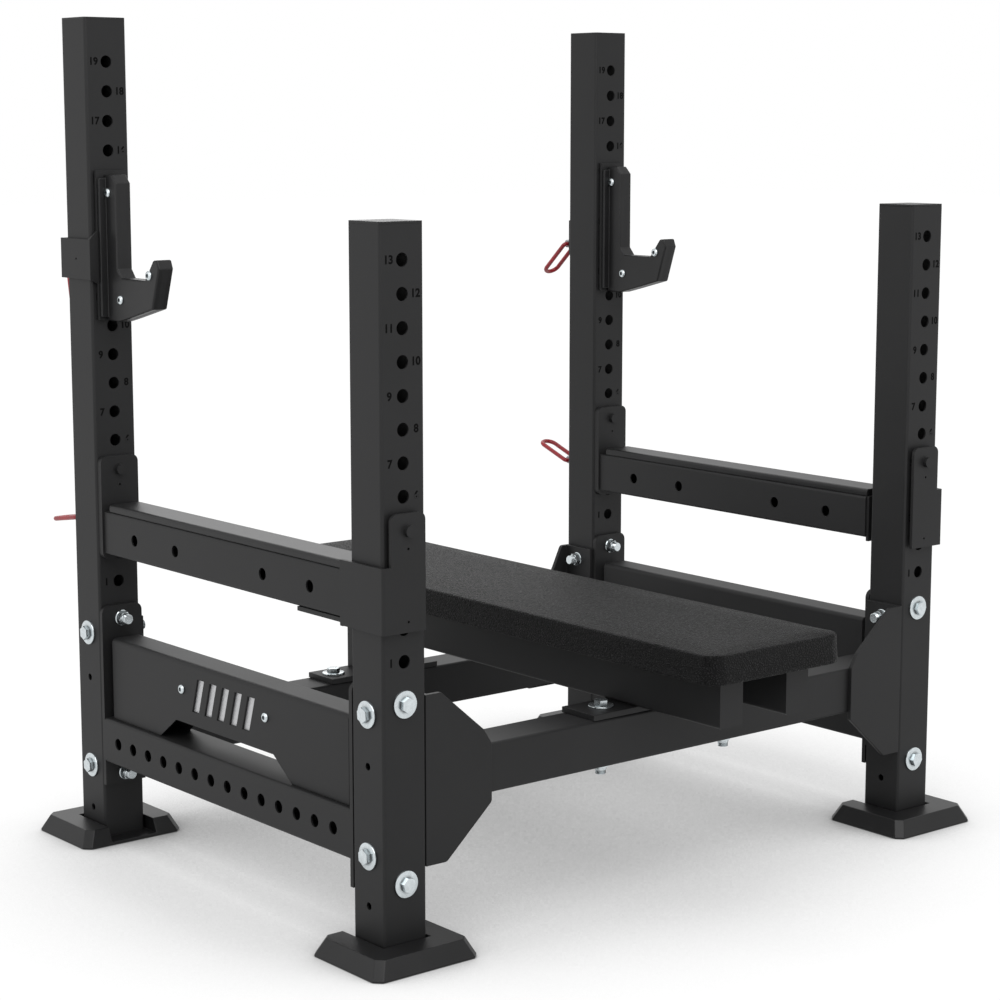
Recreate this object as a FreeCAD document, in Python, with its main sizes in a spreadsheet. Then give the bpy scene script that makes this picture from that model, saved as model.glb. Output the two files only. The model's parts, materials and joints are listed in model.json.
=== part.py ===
"""Olympic bench press: four uprights, welded side and cross frames, padded bench, two J-hooks and two
spotter arms held by lock pins.  Millimetres, +Z up, +X right, +Y to the rear, floor at Z = 0."""
import FreeCAD, Part
import math
import os
import re
import Sketcher

HOLES_REAR = 19      # numbered holes in a rear upright
HOLES_FRONT = 13     # numbered holes in a front upright
HOLES_RAIL = 14      # holes along a lower side rail
SLOTS = 5            # slanted slots in a side panel
GUESS = 40           # size of the shape that a sketch is first drawn as, before its formulas set it

SIZES = {
    # main frame
    "tube_width": 80, "tube_wall": 3, "tube_radius": 5, "upright_span": 1154, "upright_reach": 836,
    "rear_height": 1440.8, "front_height": 1122.3, "cap_thick": 4, "cap_plug": 15, "fit_gap": 0.3,
    "hole_dia": 21, "hole_pitch": 50, "first_hole": 466.4, "tie_hole_dia": 12,
    "rear_tie_low": 53, "rear_tie_high": 291, "front_tie_low": 84, "front_tie_high": 303,
    # feet
    "foot_width": 198, "foot_out": 100, "foot_in": 75, "foot_edge": 3, "foot_height": 30, "foot_slope": 13,
    "foot_floor": 6, "foot_corner": 12, "foot_gap_side": 5, "foot_gap_end": 3,
    # side frames
    "plate_thick": 8, "flange_low": 103, "flange_high": 425, "flange_corner": 14, "rail_low": 146,
    "side_bolt_low": 121, "side_bolt_high": 401,
    "panel_width": 60, "panel_height": 144, "panel_end_gap": 15, "panel_sheet": 4, "panel_bend": 8,
    "notch_low_half": 200, "notch_top_half": 147, "notch_height": 38,
    "slot_height": 58, "slot_width": 20, "slot_pitch": 38, "slot_lean": 18, "slot_mid_z": 91,
    "badge_half": 112, "badge_height": 78, "badge_thick": 3,
    # cross beams and brackets
    "front_beam_low": 231, "rear_beam_low": 132, "cheek_reach": 129, "cheek_corner": 8,
    "front_cheek_toe": 40, "front_cheek_foot": 80, "front_cheek_edge": 173, "front_knee_x": 113,
    "front_knee_z": 198, "front_cheek_lip": 30,
    "rear_cheek_toe": 112, "rear_cheek_foot": 24, "rear_cheek_edge": 94, "rear_knee_x": 43,
    "rear_knee_z": 247, "rear_cheek_lip": 22,
    "front_bracket_low": 140, "front_bracket_high": 409, "rear_bracket_low": 106, "rear_bracket_high": 397,
    "front_bolt_low": 163, "front_bolt_high": 384, "rear_bolt_low": 131, "rear_bolt_high": 372,
    # bolts
    "washer_dia": 43, "washer_thick": 4, "hex_across": 31, "hex_high": 12, "nut_high": 16, "shank_dia": 18,
    "shank_end": 7,
    # bench
    "rail_width": 50, "rail_height": 80, "bench_rail_gap": 98, "bench_rail_front": 645,
    "mount_thick": 10, "front_mount_half": 190, "rear_mount_half": 125, "front_mount_bolt": 140,
    "rear_mount_bolt": 95, "post_width": 70, "pad_width": 300, "pad_front": 681, "pad_rear": 549,
    "pad_height": 50, "pad_corner": 30, "board_thick": 12, "board_inset": 10, "soft_gap": 0.4,
    # J-hooks
    "hook_stock": 10, "hook_top": 249, "hook_brow": 25, "hook_shelf": 235,
    "hook_depth": 39, "hook_root": 89, "cup_near": 52, "cup_floor": 74, "cup_far": 127, "lip_near": 155,
    "lip_rise": 109, "lip_far": 167, "lip_top": 110, "hook_reach": 173, "nose_rise": 95, "belly_far": 150,
    "belly_rise": 26, "belly_near": 74, "belly_low": 7, "heel_near": 40, "heel_drop": 1,
    "hook_plate_thick": 6, "hook_gap": 2, "hook_slide": 7, "hook_plate_below": 89.4,
    "hook_plate_above": 166.6, "hook_plate_width": 60, "tab_below": 26.4, "tab_above": 64.6, "side_thick": 5,
    "side_below": 19.4, "side_above": 49.6, "side_gap": 0.5, "wing_half": 28, "wing_thick": 7, "wing_inset": 6,
    "blade_round": 3.5, "peep_dia": 4,
    # spotter arms
    "arm_width": 70, "arm_height": 75, "arm_below": 46.4, "arm_wall": 3, "arm_rear_gap": 16, "tail_thick": 12,
    "arm_hole_dia": 20, "arm_hole_inner": 131, "arm_hole_outer": 262, "arm_hole_z": 36.4, "liner_thick": 13,
    "liner_width": 64, "liner_radius": 6, "arm_plate_width": 74, "arm_plate_below": 56.4,
    "arm_plate_above": 23.6, "arm_front_gap": 6, "arm_back_gap": 12, "arm_side_gap": 1.5, "nose_thick": 6,
    "nose_below": 53.4, "nose_above": 27, "nose_bend": 5, "arm_front_width": 64, "nose_side_above": 47.6,
    "brace_rear": 228, "peg_length": 9, "peg_dia": 18, "peg_boss": 8, "plate_corner": 12, "peep_drop": 27,
    "peep_low": 16,
    # lock pins and pull loops
    "pin_dia": 18, "pin_lead": 3, "pin_in_hook": 5, "pin_in_arm": 28, "collar_dia": 28, "collar_thick": 6,
    "neck_dia": 16, "hook_grip": 30, "arm_grip": 35, "eye_dia": 9.7, "eye_edge": 9, "cord_dia": 8.5,
    "loop_bar": 9.5, "loop_bend": 6, "loop_length": 90, "droop_jhook_left": 100, "droop_jhook_right": 42,
    "droop_arm_left": 9, "droop_arm_right": -20,
}

# Distances that follow from the sizes above, each a formula in their names.
FOLLOWS = {
    "rear_reach": "post_y + half_tube + arm_grip + loop_length * cos(droop_arm_left) + cord_dia / 2",
    "depth_shift": "(pad_front - rear_reach) / 2",        # puts the middle of the depth at Y = 0
    "post_x": "upright_span / 2", "post_y": "upright_reach / 2", "half_tube": "tube_width / 2",
    "face_y": "post_y - half_tube",                       # inner Y face of an upright
    "plate_y": "face_y - plate_thick",                    # where the side rails end
    "rail_high": "rail_low + tube_width",
    "inner_x": "post_x - half_tube",                      # inner X face of an upright
    "beam_half": "inner_x - plate_thick",
    "beam_y": "post_y - plate_thick",                     # centre of a cross beam
    "gusset_y": "post_y + half_tube - plate_thick / 2",
    "front_mount_low": "front_beam_low + tube_width", "bench_rail_low": "front_mount_low + mount_thick",
    "bench_rail_high": "bench_rail_low + rail_height",
    "rear_mount_low": "rear_beam_low + tube_width", "post_low": "rear_mount_low + mount_thick",
    "rail_mid_x": "(bench_rail_gap + rail_width) / 2",
    "post_front": "beam_y + half_tube - post_width", "bench_plate_y": "post_front - plate_thick",
    "hook_plate_low": "hook_hole - hook_plate_below", "hook_plate_high": "hook_hole + hook_plate_above",
    "tab_low": "hook_hole - tab_below", "tab_high": "hook_hole + tab_above",
    "side_low": "hook_hole - side_below", "side_high": "hook_hole + side_above",
    "arm_low": "arm_hole - arm_below", "arm_plate_low": "arm_hole - arm_plate_below",
    "arm_plate_high": "arm_peg + arm_plate_above", "arm_front_low": "arm_hole - nose_below",
    "arm_front_high": "arm_peg + nose_above", "arm_side_high": "arm_hole + nose_side_above",
    "hook_hole": "first_hole + 11 * hole_pitch", "hook_peg": "first_hole + 13 * hole_pitch",
    "arm_hole": "first_hole + 2 * hole_pitch", "arm_peg": "first_hole + 4 * hole_pitch",
    "hook_plate_y": "face_y - hook_gap", "hook_face": "hook_plate_y - hook_plate_thick",
    "hook_back": "post_y + half_tube + hook_slide",
    "arm_top": "arm_low + arm_height", "arm_rear": "face_y - tail_thick - arm_rear_gap",
    "arm_front": "face_y - arm_back_gap - nose_thick", "saddle_front": "post_y + half_tube + arm_front_gap",
    "arm_side_x": "half_tube + arm_side_gap",
}
WORD = re.compile(r"[A-Za-z_]\w*")
OUT = "parts"

doc = FreeCAD.newDocument("olympic_bench_press")
sheet = doc.addObject("Spreadsheet::Sheet", "Sizes")
for row, (name, value) in enumerate(SIZES.items(), start=1):
    sheet.set(f"A{row}", name)
    sheet.set(f"B{row}", str(value))
    sheet.setAlias(f"B{row}", name)
doc.recompute()

pieces = []


def ex(text):
    """Writes a formula of size names as an expression on the spreadsheet."""
    def swap(found):
        word = found.group()
        if word in FOLLOWS:
            return f"({ex(FOLLOWS[word])})"
        return f"Sizes.{word}" if word in SIZES else word
    return WORD.sub(swap, str(text))


def plane(body, role):
    return next(o for o in body.Origin.OriginFeatures if o.Role == role)


class Piece:
    """One named body, drawn about its own origin on its own planes, then placed on the frame."""

    def __init__(self, label, at=("0", "0", "0")):
        self.body = doc.addObject("PartDesign::Body", label)
        self.body.Label = label
        x, y, z = at
        for axis, value in (("x", x), ("y", f"{y} + depth_shift"), ("z", z)):
            self.body.setExpression(f"Placement.Base.{axis}", ex(value))
        pieces.append(self.body)

    def sketch(self, role, offset="0"):
        sk = self.body.newObject("Sketcher::SketchObject", "Outline")
        sk.AttachmentSupport = [(plane(self.body, role), "")]
        sk.MapMode = "FlatFace"
        sk.setExpression("AttachmentOffset.Base.z", ex(offset))
        return sk

    def draw(self, sk, points):
        """Closed straight outline through (x, y) formulas."""
        base = sk.GeometryCount
        count = len(points)
        corner = [FreeCAD.Vector(GUESS * math.cos(2 * math.pi * i / count),
                                 GUESS * math.sin(2 * math.pi * i / count), 0) for i in range(count)]
        for i in range(count):
            sk.addGeometry(Part.LineSegment(corner[i], corner[(i + 1) % count]), False)
        for i in range(count):
            here, after = base + i, base + (i + 1) % count
            sk.addConstraint(Sketcher.Constraint("Coincident", here, 2, after, 1))
            for kind, value in zip(("DistanceX", "DistanceY"), points[i]):
                k = sk.addConstraint(Sketcher.Constraint(kind, -1, 1, here, 1, 1.0))
                sk.setExpression(f"Constraints[{k}]", ex(value))

    def ring(self, sk, x, y, diameter):
        """Circle at formulas (x, y)."""
        g = sk.addGeometry(Part.Circle(FreeCAD.Vector(1, 1, 0), FreeCAD.Vector(0, 0, 1), 5), False)
        for kind, value in (("DistanceX", x), ("DistanceY", y)):
            k = sk.addConstraint(Sketcher.Constraint(kind, -1, 1, g, 3, 1.0))
            sk.setExpression(f"Constraints[{k}]", ex(value))
        k = sk.addConstraint(Sketcher.Constraint("Diameter", g, 5.0))
        sk.setExpression(f"Constraints[{k}]", ex(diameter))

    def pad(self, sk, length, side="Symmetric", back=False):
        pad = self.body.newObject("PartDesign::Pad", "Pad")
        pad.Profile = sk
        pad.SideType = side
        pad.Reversed = back
        pad.setExpression("Length", ex(length))
        self.show(sk)
        return pad

    def cut(self, sk, length=None, side="Symmetric", back=False):
        pocket = self.body.newObject("PartDesign::Pocket", "Pocket")
        pocket.Profile = sk
        pocket.SideType = side
        pocket.Reversed = back
        if length is None:
            pocket.Type = "ThroughAll"
        else:
            pocket.setExpression("Length", ex(length))
        self.show(sk)
        return pocket

    def show(self, sk):
        sk.Visibility = False
        doc.recompute()

    def slab(self, role, points, thick, offset="0"):
        sk = self.sketch(role, offset)
        self.draw(sk, points)
        return self.pad(sk, thick)

    def notch(self, role, points, thick=None, offset="0"):
        sk = self.sketch(role, offset)
        self.draw(sk, points)
        return self.cut(sk, thick)

    def soften(self, kind, size, test):
        """Fillet or chamfer of every edge of the tip that passes the test."""
        tip = self.body.Tip
        names = [f"Edge{i}" for i, edge in enumerate(tip.Shape.Edges, start=1) if test(edge)]
        feature = self.body.newObject(f"PartDesign::{kind}", kind)
        feature.Base = (tip, names)
        feature.setExpression("Radius" if kind == "Fillet" else "Size", ex(size))
        tip.Visibility = False
        doc.recompute()
        return feature

    def row(self, feature, role_or_axis, pitch, count, back=False):
        """Straight row of a feature along a sketch axis or an origin axis."""
        pattern = self.body.newObject("PartDesign::LinearPattern", "Row")
        pattern.Originals = [feature]
        pattern.Direction = (plane(self.body, role_or_axis), [""])
        pattern.setExpression("Length", ex(f"{pitch} * {int(count) - 1}"))
        pattern.Occurrences = int(count)
        pattern.Reversed = back
        self.body.Tip = pattern
        doc.recompute()
        return pattern


def along(axis, *near):
    """Test for straight edges along an axis, near any of the given (coordinate index, value) pairs."""
    def test(edge):
        if len(edge.Vertexes) < 2 or edge.Curve.TypeId != "Part::GeomLine":
            return False
        step = edge.Vertexes[1].Point - edge.Vertexes[0].Point
        if abs(abs(step[axis]) - step.Length) > 1e-6:
            return False
        mid = edge.CenterOfMass
        return not near or any(all(abs(mid[i] - v) < 0.6 for i, v in spot) for spot in near)
    return test


def box(x0, y0, x1, y1):
    return [(x0, y0), (x1, y0), (x1, y1), (x0, y1)]


def middle(width, height):
    return box(f"-({width}) / 2", f"-({height}) / 2", f"({width}) / 2", f"({height}) / 2")


def tube(piece, role, width, height, wall, length, radius=None, axis=None):
    """Square or oblong tube centred on the origin, its corners rounded first when asked."""
    piece.slab(role, middle(width, height), length)
    if radius:
        piece.soften("Fillet", radius, along(axis))
    piece.notch(role, middle(f"{width} - 2 * {wall}", f"{height} - 2 * {wall}"))


SIDES = (("left", -1), ("right", 1))
ENDS = (("front", -1), ("rear", 1))
HEIGHTS = {"front": ("front_height", HOLES_FRONT), "rear": ("rear_height", HOLES_REAR)}


def clipped(inset, fy):
    """Outline of a foot with clipped corners, drawn in from its edge by the inset."""
    x, out, back = f"(foot_width / 2 - {inset})", f"(foot_out - {inset})", f"(foot_in - {inset})"
    clip = "foot_corner"
    points = [(f"{x} - {clip}", f"-{back}"), (x, f"-{back} + {clip}"), (x, f"{out} - {clip}"),
              (f"{x} - {clip}", out), (f"-{x} + {clip}", out), (f"-{x}", f"{out} - {clip}"),
              (f"-{x}", f"-{back} + {clip}"), (f"-{x} + {clip}", f"-{back}")]
    return [(px, f"{fy} * ({py})") for px, py in points]


# ---- uprights, caps and feet
for end, fy in ENDS:
    height, holes = HEIGHTS[end]
    for side, fx in SIDES:
        spot = (f"{fx} * post_x", f"{fy} * post_y")
        post = Piece(f"upright_{end}_{side}", (*spot, "foot_floor"))
        sk = post.sketch("XY_Plane")
        post.draw(sk, middle("tube_width", "tube_width"))
        post.pad(sk, f"{height} - cap_thick - foot_floor", "One side")
        post.soften("Fillet", "tube_radius", along(2))
        inside = "tube_width - 2 * tube_wall"
        post.notch("XY_Plane", middle(inside, inside))
        sk = post.sketch("XZ_Plane")
        post.ring(sk, "0", "first_hole - foot_floor", "hole_dia")
        post.row(post.cut(sk), "Z_Axis", "hole_pitch", holes)
        sk = post.sketch("YZ_Plane")
        for level in (f"{end}_tie_low", f"{end}_tie_high"):
            post.ring(sk, "0", f"{level} - foot_floor", "tie_hole_dia")
        post.cut(sk)

        cap = Piece(f"cap_{end}_{side}", (*spot, f"{height} - cap_thick"))
        sk = cap.sketch("XY_Plane")
        cap.draw(sk, middle("tube_width", "tube_width"))
        cap.pad(sk, "cap_thick", "One side")
        cap.soften("Fillet", "tube_radius", along(2))
        sk = cap.sketch("XY_Plane")
        cap.draw(sk, middle(f"{inside} - 2 * fit_gap", f"{inside} - 2 * fit_gap"))
        cap.pad(sk, "cap_plug", "One side", back=True)

        foot = Piece(f"foot_{end}_{side}", (*spot, "0"))
        sk = foot.sketch("XY_Plane")
        foot.draw(sk, clipped("0", fy))
        foot.pad(sk, "foot_edge", "One side")
        low, high = foot.sketch("XY_Plane", "foot_edge"), foot.sketch("XY_Plane", "foot_height")
        foot.draw(low, clipped("0", fy))
        foot.draw(high, clipped("foot_slope", fy))
        slope = foot.body.newObject("PartDesign::AdditiveLoft", "Slope")
        slope.Profile = low
        slope.Sections = [high]
        foot.show(low)
        foot.show(high)
        sk = foot.sketch("XY_Plane", "foot_floor")
        half = "half_tube + foot_gap_side"
        foot.draw(sk, box(f"-({half})", f"{-fy} * (foot_in + 1)", half, f"{fy} * (half_tube + foot_gap_end)"))
        foot.cut(sk, "foot_height", "One side", back=True)

# ---- side frames: lower rail with its end plates, folded panel, badge plate behind the slots
for side, fx in SIDES:
    rail = Piece(f"side_rail_{side}", (f"{fx} * post_x", "0", "rail_low + half_tube"))
    tube(rail, "XZ_Plane", "tube_width", "tube_width", "tube_wall", "2 * plate_y", "tube_radius", 1)
    sk = rail.sketch("YZ_Plane", f"{fx} * (half_tube - tube_wall / 2)")
    rail.ring(sk, f"-hole_pitch * {(HOLES_RAIL - 1) / 2}", "0", "hole_dia")
    rail.row(rail.cut(sk, "2 * tube_wall"), "Y_Axis", "hole_pitch", HOLES_RAIL)
    middle_z = "(rail_low + half_tube)"
    for fy in (-1, 1):
        rail.slab("XZ_Plane", box("-half_tube", f"flange_low - {middle_z}", "half_tube", f"flange_high - {middle_z}"),
                  "plate_thick", f"{fy} * (face_y - plate_thick / 2)")
    top = SIZES["flange_high"] - SIZES["rail_low"] - SIZES["tube_width"] / 2
    rail.soften("Fillet", "flange_corner", along(1, ((2, top),)))

    panel = Piece(f"side_panel_{side}", (f"{fx} * post_x", "0", "rail_high"))
    long = "2 * (plate_y - panel_end_gap)"
    panel.slab("XZ_Plane", box("-panel_width / 2", "0", "panel_width / 2", "panel_height"), long)
    panel.soften("Fillet", "panel_bend", along(1, ((2, SIZES["panel_height"]),)))
    inner = "panel_width / 2 - panel_sheet"
    panel.notch("XZ_Plane", box(f"-({inner})", "-1", inner, "panel_height - panel_sheet"))
    panel.notch("YZ_Plane", [("-notch_low_half", "-1"), ("notch_low_half", "-1"),
                             ("notch_top_half", "notch_height"), ("-notch_top_half", "notch_height")])
    for k in range(-(SLOTS // 2), SLOTS // 2 + 1):
        foot_y, head_y = f"{k} * slot_pitch + slot_lean / 2", f"{k} * slot_pitch - slot_lean / 2"
        low, high = "slot_mid_z - slot_height / 2", "slot_mid_z + slot_height / 2"
        panel.notch("YZ_Plane", [(f"{foot_y} - slot_width / 2", low), (f"{foot_y} + slot_width / 2", low),
                                 (f"{head_y} + slot_width / 2", high), (f"{head_y} - slot_width / 2", high)],
                    "2 * panel_sheet", f"{fx} * panel_width / 2")

    badge = Piece(f"badge_plate_{side}", (f"{fx} * (post_x + {inner} - badge_thick / 2)", "0",
                                         "rail_high + slot_mid_z"))
    badge.slab("YZ_Plane", middle("2 * badge_half", "badge_height"), "badge_thick")

# ---- cross beams with their end brackets
for end, fy in ENDS:
    low = f"{end}_beam_low"
    beam = Piece(f"crossbeam_{end}", ("0", f"{fy} * beam_y", f"{low} + half_tube"))
    tube(beam, "YZ_Plane", "tube_width", "tube_width", "tube_wall", "2 * beam_half", "tube_radius", 0)
    for side, fx in SIDES:
        bracket = Piece(f"bracket_{end}_{side}", (f"{fx} * inner_x", f"{fy} * post_y", f"{end}_bracket_low"))
        tall = f"({end}_bracket_high - {end}_bracket_low)"
        cheek = [("0", "0"), (f"{-fx} * {end}_cheek_toe", "0"), (f"{-fx} * cheek_reach", f"{end}_cheek_foot"),
                 (f"{-fx} * cheek_reach", f"{end}_cheek_edge"), (f"{-fx} * {end}_knee_x", f"{end}_knee_z"),
                 (f"{-fx} * {end}_cheek_lip", tall), ("0", tall)]
        bracket.slab("XZ_Plane", cheek, "plate_thick", f"{-fy} * (half_tube - plate_thick / 2)")
        bracket.soften("Fillet", "cheek_corner", lambda e: along(1)(e) and abs(e.CenterOfMass.x) > 1)
        bracket.slab("YZ_Plane", box("-half_tube", "0", "half_tube", tall), "plate_thick",
                     f"{-fx} * plate_thick / 2")

# ---- bench
for side, fx in SIDES:
    rail = Piece(f"bench_rail_{side}", (f"{fx} * rail_mid_x", "(bench_plate_y - bench_rail_front) / 2",
                                       "bench_rail_low + rail_height / 2"))
    long = "(bench_plate_y + bench_rail_front)"
    tube(rail, "XZ_Plane", "rail_width", "rail_height", "tube_wall", long, "tube_radius", 1)
    rail.slab("XZ_Plane", middle("rail_width - tube_wall", "rail_height - tube_wall"), "tube_wall",
              f"({long} - tube_wall) / 2")          # closes the front end
plate = Piece("bench_mount_front", ("0", "-beam_y", "front_mount_low + mount_thick / 2"))
plate.slab("XY_Plane", middle("2 * front_mount_half", "tube_width"), "mount_thick")
plate = Piece("bench_mount_rear", ("0", "beam_y", "rear_mount_low + mount_thick / 2"))
plate.slab("XY_Plane", middle("2 * rear_mount_half", "tube_width"), "mount_thick")
post = Piece("bench_post", ("0", "post_front + post_width / 2", "post_low"))
sk = post.sketch("XY_Plane")
post.draw(sk, middle("post_width", "post_width"))
post.pad(sk, "bench_rail_high - post_low", "One side")
post.soften("Fillet", "tube_radius", along(2))
post.notch("XY_Plane", middle("post_width - 2 * tube_wall", "post_width - 2 * tube_wall"))
plate = Piece("bench_end_plate", ("0", "bench_plate_y + plate_thick / 2", "bench_rail_low + rail_height / 2"))
plate.slab("XZ_Plane", middle("bench_rail_gap + 2 * rail_width", "rail_height"), "plate_thick")
board = Piece("bench_board", ("0", "(pad_rear - pad_front) / 2", "bench_rail_high + board_thick / 2"))
wide, deep = "pad_width - 2 * board_inset", "pad_rear + pad_front - 2 * board_inset"
board.slab("XY_Plane", middle(wide, deep), "board_thick")
board.soften("Fillet", "pad_corner - board_inset", along(2))
pad = Piece("bench_pad", ("0", "(pad_rear - pad_front) / 2", "bench_rail_high + soft_gap"))
sk = pad.sketch("XY_Plane")
pad.draw(sk, middle("pad_width", "pad_rear + pad_front"))
pad.pad(sk, "pad_height - soft_gap", "One side")
pad.soften("Fillet", "pad_corner", along(2))
sk = pad.sketch("XY_Plane")
pad.draw(sk, middle(f"{wide} + 2 * soft_gap", f"{deep} + 2 * soft_gap"))
pad.cut(sk, "board_thick", "One side", back=True)

# ---- J-hooks: saddle plate round the upright, steel core, a plastic liner on each side
HOOK = [("0", "hook_top"), ("-hook_brow", "hook_top"), ("-hook_depth", "hook_shelf"), ("-hook_depth", "hook_root"),
        ("-cup_near", "cup_floor"), ("-cup_far", "cup_floor"), ("-lip_near", "lip_rise"), ("-lip_far", "lip_top"),
        ("-hook_reach", "nose_rise"), ("-belly_far", "belly_rise"), ("-belly_near", "belly_low"),
        ("-heel_near", "-heel_drop"), ("0", "-heel_drop")]
for side, fx in SIDES:
    x = f"{fx} * post_x"
    saddle = Piece(f"jhook_saddle_{side}", (x, "0", "hook_plate_low"))
    tall = "(hook_plate_high - hook_plate_low)"
    low, high = "(tab_low - hook_plate_low)", "(tab_high - hook_plate_low)"
    side_low, side_high = "(side_low - hook_plate_low)", "(side_high - hook_plate_low)"
    wide = "hook_plate_width / 2"
    outer = "half_tube + side_gap + side_thick"
    face = f"-(hook_plate_y - hook_plate_thick / 2)"
    saddle.slab("XZ_Plane", [(f"{-fx} * {wide}", "0"), (f"{fx} * {wide}", "0"), (f"{fx} * {wide}", low),
                             (f"{fx} * ({outer})", side_low), (f"{fx} * ({outer})", side_high),
                             (f"{fx} * {wide}", high),
                             (f"{fx} * {wide}", tall), (f"{-fx} * {wide}", tall)], "hook_plate_thick", face)
    saddle.slab("YZ_Plane", box("hook_face", side_low, "hook_back + side_thick", side_high), "side_thick",
                f"{fx} * (half_tube + side_gap + side_thick / 2)")
    saddle.slab("XZ_Plane", box(f"{-fx} * {wide}", side_low, f"{fx} * ({outer})", side_high), "side_thick",
                "-(hook_back + side_thick / 2)")
    sk = saddle.sketch("YZ_Plane")
    saddle.ring(sk, "post_y", f"({side_low} + {side_high}) / 2", "peep_dia")
    saddle.cut(sk)
    sk = saddle.sketch("XZ_Plane", "-post_y")
    saddle.ring(sk, "0", "hook_hole - hook_plate_low", "hole_dia")
    saddle.cut(sk)
    sk = saddle.sketch("XZ_Plane", "-hook_plate_y")
    saddle.ring(sk, "0", "hook_peg - hook_plate_low", "peg_dia")
    saddle.pad(sk, "hook_slide + hook_gap - 1", "One side", back=True)
    for name, place_x in (("core", "0"), ("liner_out", f"{fx} * hook_stock"), ("liner_in", f"{-fx} * hook_stock")):
        hook = Piece(f"jhook_{name}_{side}", (f"{x} + {place_x}", "hook_face", "hook_plate_low"))
        hook.slab("YZ_Plane", HOOK, "hook_stock")
        if name == "core":
            continue
        out = fx if name == "liner_out" else -fx
        rim = "hook_stock / 2"
        edge = out * SIZES["hook_stock"] / 2
        hook.soften("Fillet", "blade_round", lambda e: abs(e.BoundBox.XMin - edge) < 1e-6 and
                    abs(e.BoundBox.XMax - edge) < 1e-6 and e.BoundBox.YMin < -SIZES["wing_thick"] - 1)
        hook.slab("XZ_Plane", box(f"{out} * ({rim} - 2)", "wing_inset", f"{out} * (wing_half - hook_stock)",
                                  "hook_top - wing_inset"), "wing_thick", "wing_thick / 2")
# ---- spotter arms
for side, fx in SIDES:
    x = f"{fx} * post_x"
    arm = Piece(f"arm_tube_{side}", (x, "(arm_rear - arm_front) / 2", "arm_low + arm_height / 2"))
    tube(arm, "XZ_Plane", "arm_width", "arm_height", "arm_wall", "arm_rear + arm_front", "tube_radius", 1)
    sk = arm.sketch("YZ_Plane")
    centre = "((arm_rear - arm_front) / 2)"
    for y in ("-arm_hole_outer", "-arm_hole_inner", "arm_hole_inner", "arm_hole_outer"):
        arm.ring(sk, f"{y} - {centre}", "arm_hole_z - arm_height / 2", "arm_hole_dia")
    arm.cut(sk)

    liner = Piece(f"arm_liner_{side}", (x, "(arm_rear - arm_front) / 2", "arm_top + liner_thick / 2"))
    liner.slab("XZ_Plane", middle("liner_width", "liner_thick"), "arm_rear + arm_front")
    liner.soften("Fillet", "liner_radius", along(1, ((2, SIZES["liner_thick"] / 2),)))

    tail = Piece(f"arm_tail_{side}", (x, "face_y", "arm_plate_low"))
    tail.slab("XZ_Plane", box("-arm_plate_width / 2", "0", "arm_plate_width / 2", "arm_plate_high - arm_plate_low"),
              "tail_thick", "tail_thick / 2")
    tail.soften("Fillet", "plate_corner", along(1))
    tail.slab("XZ_Plane", box("-(arm_width - arm_wall) / 2", "arm_low - arm_plate_low + arm_wall / 2",
                              "(arm_width - arm_wall) / 2", "arm_top - arm_plate_low - arm_wall / 2"),
              "arm_rear_gap", "tail_thick + arm_rear_gap / 2")
    sk = tail.sketch("XZ_Plane")
    tail.ring(sk, "0", "arm_hole - arm_plate_low", "hole_dia")
    tail.cut(sk)
    sk = tail.sketch("XZ_Plane")
    tail.ring(sk, "0", "arm_peg - peep_drop - arm_plate_low", "peep_dia")
    tail.cut(sk)
    sk = tail.sketch("XZ_Plane")
    tail.ring(sk, "0", "arm_peg - arm_plate_low", "peg_dia")
    tail.pad(sk, "peg_length", "One side", back=True)
    sk = tail.sketch("XZ_Plane", "tail_thick")
    tail.ring(sk, "0", "arm_peg - arm_plate_low", "peg_dia")
    tail.pad(sk, "peg_boss", "One side")

    nose = Piece(f"arm_nose_{side}", (x, "0", "arm_front_low"))
    half = "arm_front_width / 2"
    near, outer = f"{-fx} * {half}", f"{fx} * (arm_side_x + nose_thick)"
    step, tall = "arm_side_high - arm_front_low", "arm_front_high - arm_front_low"
    nose.slab("XZ_Plane", [(near, "0"), (outer, "0"), (outer, step), (f"{fx} * {half}", step),
                           (f"{fx} * {half}", tall), (near, tall)], "nose_thick",
              "saddle_front + nose_thick / 2")
    crown = nose.body.Tip.Shape.BoundBox.ZMax
    nose.soften("Fillet", "plate_corner", along(1, ((2, crown),)))
    nose.slab("YZ_Plane", box("-(saddle_front + nose_thick)", "0", "-arm_front", step),
              "nose_thick", f"{fx} * (arm_side_x + nose_thick / 2)")
    reach = nose.body.Tip.Shape.BoundBox
    nose.soften("Fillet", "nose_bend", along(2, ((1, reach.YMin), (0, reach.XMin if fx < 0 else reach.XMax))))
    nose.slab("XZ_Plane", box(near, "0", outer, "arm_top - arm_front_low"), "nose_thick", "arm_front + nose_thick / 2")
    nose.slab("YZ_Plane", box("-arm_front", "0", "-brace_rear", "arm_low - arm_front_low"), "nose_thick",
              f"{fx} * (arm_width - nose_thick) / 2")     # runs back under the outer edge of the tube
    for level in ("arm_peg - peep_drop - arm_front_low", "peep_low"):
        sk = nose.sketch("XZ_Plane", "saddle_front + nose_thick / 2")
        nose.ring(sk, "0", level, "peep_dia")
        nose.cut(sk, "2 * nose_thick")
    sk = nose.sketch("XZ_Plane", "saddle_front")
    nose.ring(sk, "0", "arm_peg - arm_front_low", "peg_dia")
    nose.pad(sk, "arm_front_gap + peg_length", "One side", back=True)
    sk = nose.sketch("XZ_Plane", "saddle_front + nose_thick")
    nose.ring(sk, "0", "arm_peg - arm_front_low", "peg_dia")
    nose.pad(sk, "peg_boss", "One side")

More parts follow.
